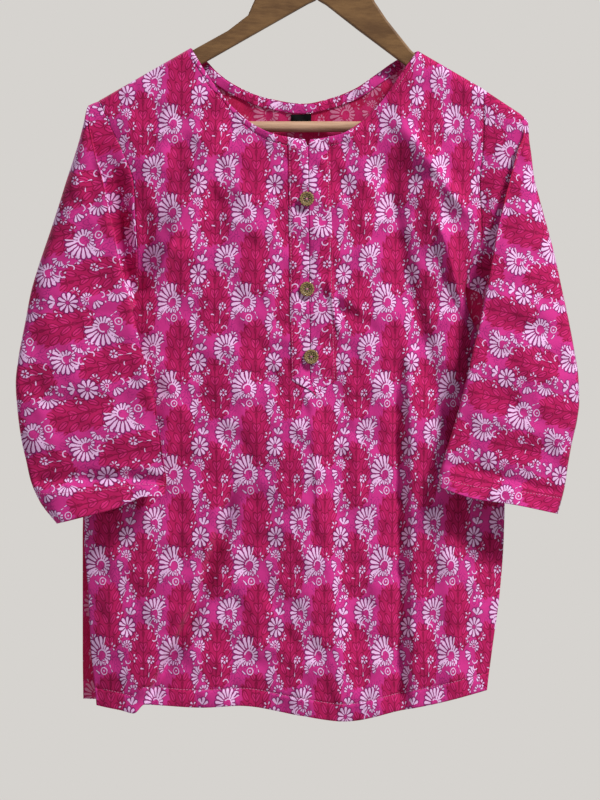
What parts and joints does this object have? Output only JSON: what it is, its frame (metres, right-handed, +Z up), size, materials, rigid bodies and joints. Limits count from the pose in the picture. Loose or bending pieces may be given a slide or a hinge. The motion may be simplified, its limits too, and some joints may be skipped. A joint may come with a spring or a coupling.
{
  "type": "kurta tunic on a wooden hanger",
  "caption": "Short cotton kurta with scooped neck, buttoned placket, side vents and three-quarter sleeves, hung flat on a wooden hanger that carries it by a steel hook.",
  "frame": {"origin": "inner top of the hanger's hook, where a rail or nail carries it", "axes": "+Z up, the front of the garment faces -Y, the wearer's right sleeve is at -X"},
  "size_m": [0.574, 0.0579, 0.8469],
  "materials": {
    "printed_cotton": "block-printed cotton, matt",
    "woven_label": "woven, matt",
    "carved_wood": "carved and waxed",
    "stained_wood": "stained, satin",
    "pale_wood": "bare, sanded",
    "bright_steel": "bright wire"
  },
  "bodies": {
    "root": {"front_panel": "printed_cotton", "back_panel": "printed_cotton", "sleeve_left": "printed_cotton", "sleeve_right": "printed_cotton", "placket_left": "printed_cotton", "placket_right": "printed_cotton", "neck_facing_back": "printed_cotton", "size_label": "woven_label", "button_top": "carved_wood", "button_middle": "carved_wood", "button_bottom": "carved_wood", "hanger_arm_left": "stained_wood", "hanger_arm_right": "stained_wood", "hanger_bar": "pale_wood", "hanger_hook": "bright_steel"}
  },
  "joints": []
}
